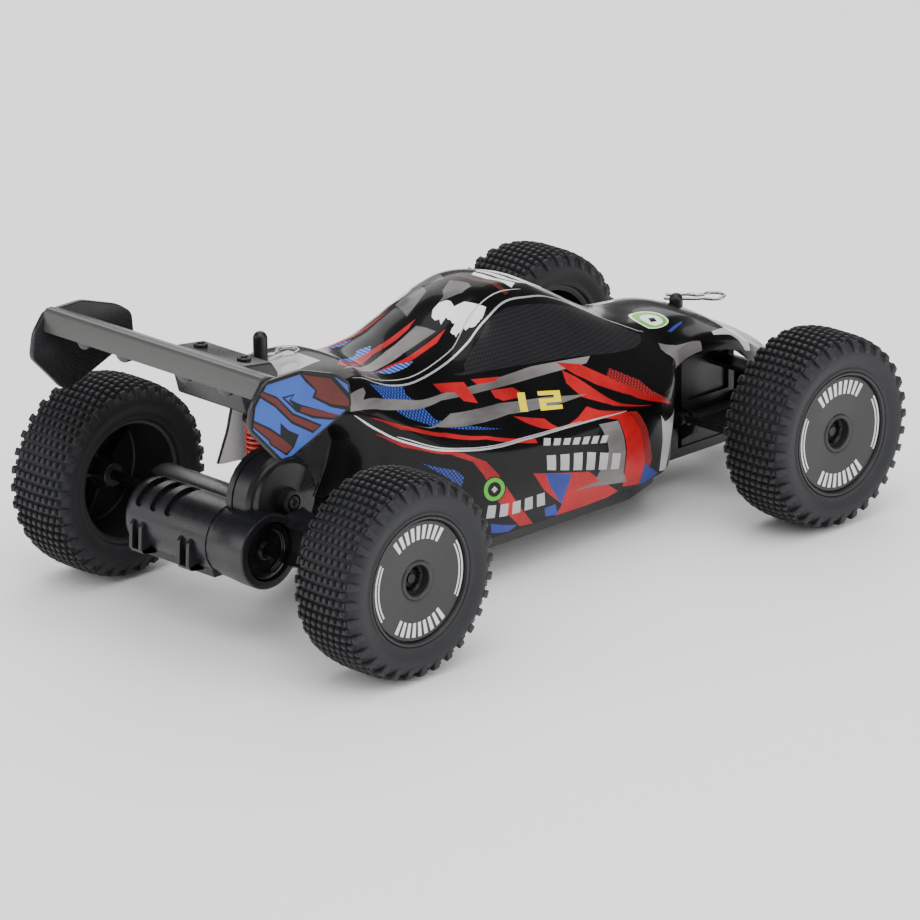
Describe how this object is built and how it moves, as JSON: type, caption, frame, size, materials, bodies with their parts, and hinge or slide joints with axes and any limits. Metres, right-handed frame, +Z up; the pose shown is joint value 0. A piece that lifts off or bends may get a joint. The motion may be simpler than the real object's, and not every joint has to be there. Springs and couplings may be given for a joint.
{
  "type": "radio-controlled buggy",
  "caption": "Off-road radio-controlled toy buggy with knobbed tyres, clipped-on printed shell, rear wing, sprung swinging rear gearbox and steered front wheels.",
  "frame": {"origin": "on the ground under the middle of the wheelbase, on the centreline, with the wheels at rest", "axes": "+Z up, the nose points to -Y, +X is the car's own left"},
  "size_m": [0.1472, 0.259, 0.0935],
  "materials": {
    "chassis_plastic": "fine moulded texture, matt black",
    "case_plastic": "satin moulded black",
    "body_print": "clear-coated black with red, blue and grey printed slashes",
    "wing_plastic": "satin dark grey moulding",
    "tyre": "matt rubber",
    "rim_plastic": "satin black with white printed marks",
    "steel": "bright wire and screws",
    "spring": "red coated wire",
    "board": "green circuit board",
    "cell_wrap": "blue shrink wrap",
    "gear_plastic": "natural nylon",
    "brass": "machined",
    "cap": "glossy black"
  },
  "bodies": {
    "chassis": {"chassis_tub": "chassis_plastic", "battery_door": "chassis_plastic", "battery_door_screw": "steel", "battery_pack": "cell_wrap", "control_board": "board", "power_switch_housing": "steel", "steering_servo": "case_plastic", "front_bulkhead": "chassis_plastic", "front_arm_pin_left": "steel", "front_arm_pin_right": "steel", "front_spring_left": "spring", "front_spring_right": "spring", "front_bumper": "chassis_plastic", "rear_tower": "chassis_plastic", "swing_pivot_pin": "steel", "body_shell": "body_print", "rear_body_post": "chassis_plastic", "front_body_post": "chassis_plastic", "rear_body_clip": "steel", "front_body_clip": "steel", "rear_wing": "wing_plastic", "wing_screw_left": "steel", "wing_screw_right": "steel"},
    "power_switch": {"power_switch_slider": "chassis_plastic"},
    "servo_horn": {"servo_horn": "case_plastic"},
    "steering_link": {"steering_link": "chassis_plastic"},
    "tie_rod_left": {"tie_rod_left": "chassis_plastic"},
    "tie_rod_right": {"tie_rod_right": "chassis_plastic"},
    "front_arm_left": {"front_arm_left": "chassis_plastic", "kingpin_left": "steel"},
    "front_arm_right": {"front_arm_right": "chassis_plastic", "kingpin_right": "steel"},
    "knuckle_left": {"steering_knuckle_left": "chassis_plastic", "front_wheel_nut_left": "steel"},
    "knuckle_right": {"steering_knuckle_right": "chassis_plastic", "front_wheel_nut_right": "steel"},
    "front_wheel_left": {"front_rim_left": "rim_plastic", "front_tyre_left": "tyre"},
    "front_wheel_right": {"front_rim_right": "rim_plastic", "front_tyre_right": "tyre"},
    "rear_drive": {"gear_case_left": "case_plastic", "gear_case_right": "case_plastic", "motor_tube": "case_plastic", "motor_can": "steel", "motor_tube_cap": "cap", "gear_case_screw": "steel"},
    "rear_axle": {"rear_axle_shaft": "steel", "axle_gear": "gear_plastic", "rear_rim_left": "rim_plastic", "rear_tyre_left": "tyre", "rear_wheel_nut_left": "steel", "rear_rim_right": "rim_plastic", "rear_tyre_right": "tyre", "rear_wheel_nut_right": "steel"},
    "idler": {"idler_gear": "gear_plastic"},
    "motor_rotor": {"motor_pinion": "brass"},
    "damper_body": {"rear_damper_body": "case_plastic", "rear_spring": "spring"},
    "damper_rod": {"rear_damper_rod": "steel"}
  },
  "joints": [
    {"name": "rear_swing", "type": "hinge", "parent": "chassis", "child": "rear_drive", "pos_m": [0, 0.052, 0.022], "axis": [1, 0, 0], "range_deg": [-4, 3], "stiffness_Nm_per_rad": 8},
    {"name": "rear_axle_spin", "type": "hinge", "parent": "rear_drive", "child": "rear_axle", "pos_m": [0, 0.088, 0.03], "axis": [1, 0, 0], "continuous": true},
    {"name": "idler_spin", "type": "hinge", "parent": "rear_drive", "child": "idler", "pos_m": [-0.013, 0.0885, 0.041], "axis": [1, 0, 0], "continuous": true},
    {"name": "motor_spin", "type": "hinge", "parent": "rear_drive", "child": "motor_rotor", "pos_m": [-0.0115, 0.1, 0.0295], "axis": [1, 0, 0], "continuous": true},
    {"name": "damper_tilt", "type": "hinge", "parent": "chassis", "child": "damper_body", "pos_m": [0.0016, 0.081, 0.065], "axis": [1, 0, 0], "range_deg": [-5, 5]},
    {"name": "damper_stroke", "type": "slide", "parent": "damper_body", "child": "damper_rod", "axis": [0, 0, -1], "range_m": [-0.003, 0.003], "deforming": ["rear_spring"]},
    {"name": "servo_horn_turn", "type": "hinge", "parent": "chassis", "child": "servo_horn", "pos_m": [0, -0.064, 0.024], "axis": [0, 0, 1], "range_deg": [-18, 18]},
    {"name": "steering_link_slide", "type": "slide", "parent": "chassis", "child": "steering_link", "axis": [1, 0, 0], "range_m": [-0.00314, 0.00314]},
    {"name": "front_arm_left_swing", "type": "hinge", "parent": "chassis", "child": "front_arm_left", "pos_m": [0.015, -0.092, 0.022], "axis": [0, 1, 0], "range_deg": [-5, 4], "stiffness_Nm_per_rad": 3, "deforming": ["front_spring_left"]},
    {"name": "front_arm_right_swing", "type": "hinge", "parent": "chassis", "child": "front_arm_right", "pos_m": [-0.015, -0.092, 0.022], "axis": [0, -1, 0], "range_deg": [-5, 4], "stiffness_Nm_per_rad": 3, "deforming": ["front_spring_right"]},
    {"name": "tie_rod_left_swing", "type": "hinge", "parent": "steering_link", "child": "tie_rod_left", "pos_m": [0.015, -0.078, 0.024], "axis": [0, 1, 0], "range_deg": [-6, 5]},
    {"name": "tie_rod_right_swing", "type": "hinge", "parent": "steering_link", "child": "tie_rod_right", "pos_m": [-0.015, -0.078, 0.024], "axis": [0, -1, 0], "range_deg": [-6, 5]},
    {"name": "knuckle_left_steer", "type": "hinge", "parent": "front_arm_left", "child": "knuckle_left", "pos_m": [0.044, -0.088, 0.03], "axis": [0, 0, 1], "range_deg": [-20, 20]},
    {"name": "knuckle_right_steer", "type": "hinge", "parent": "front_arm_right", "child": "knuckle_right", "pos_m": [-0.044, -0.088, 0.03], "axis": [0, 0, 1], "range_deg": [-20, 20]},
    {"name": "front_wheel_left_spin", "type": "hinge", "parent": "knuckle_left", "child": "front_wheel_left", "pos_m": [0.0613, -0.088, 0.03], "axis": [1, 0, 0], "continuous": true},
    {"name": "front_wheel_right_spin", "type": "hinge", "parent": "knuckle_right", "child": "front_wheel_right", "pos_m": [-0.0613, -0.088, 0.03], "axis": [1, 0, 0], "continuous": true},
    {"name": "power_switch_slide", "type": "slide", "parent": "chassis", "child": "power_switch", "axis": [0, 1, 0], "range_m": [0, 0.002]}
  ],
  "couplings": [
    {"joint": "idler_spin", "follows": "rear_axle_spin", "ratio": -2.5},
    {"joint": "motor_spin", "follows": "rear_axle_spin", "ratio": 2.7273},
    {"joint": "damper_tilt", "follows": "rear_swing", "ratio": -0.7208},
    {"joint": "damper_stroke", "follows": "rear_swing", "m_per_rad": -0.028984},
    {"joint": "servo_horn_turn", "follows": "steering_link_slide", "rad_per_m": 83.333},
    {"joint": "knuckle_left_steer", "follows": "steering_link_slide", "rad_per_m": -100},
    {"joint": "knuckle_right_steer", "follows": "steering_link_slide", "rad_per_m": -100},
    {"joint": "tie_rod_left_swing", "follows": "front_arm_left_swing", "ratio": 1},
    {"joint": "tie_rod_right_swing", "follows": "front_arm_right_swing", "ratio": 1}
  ]
}
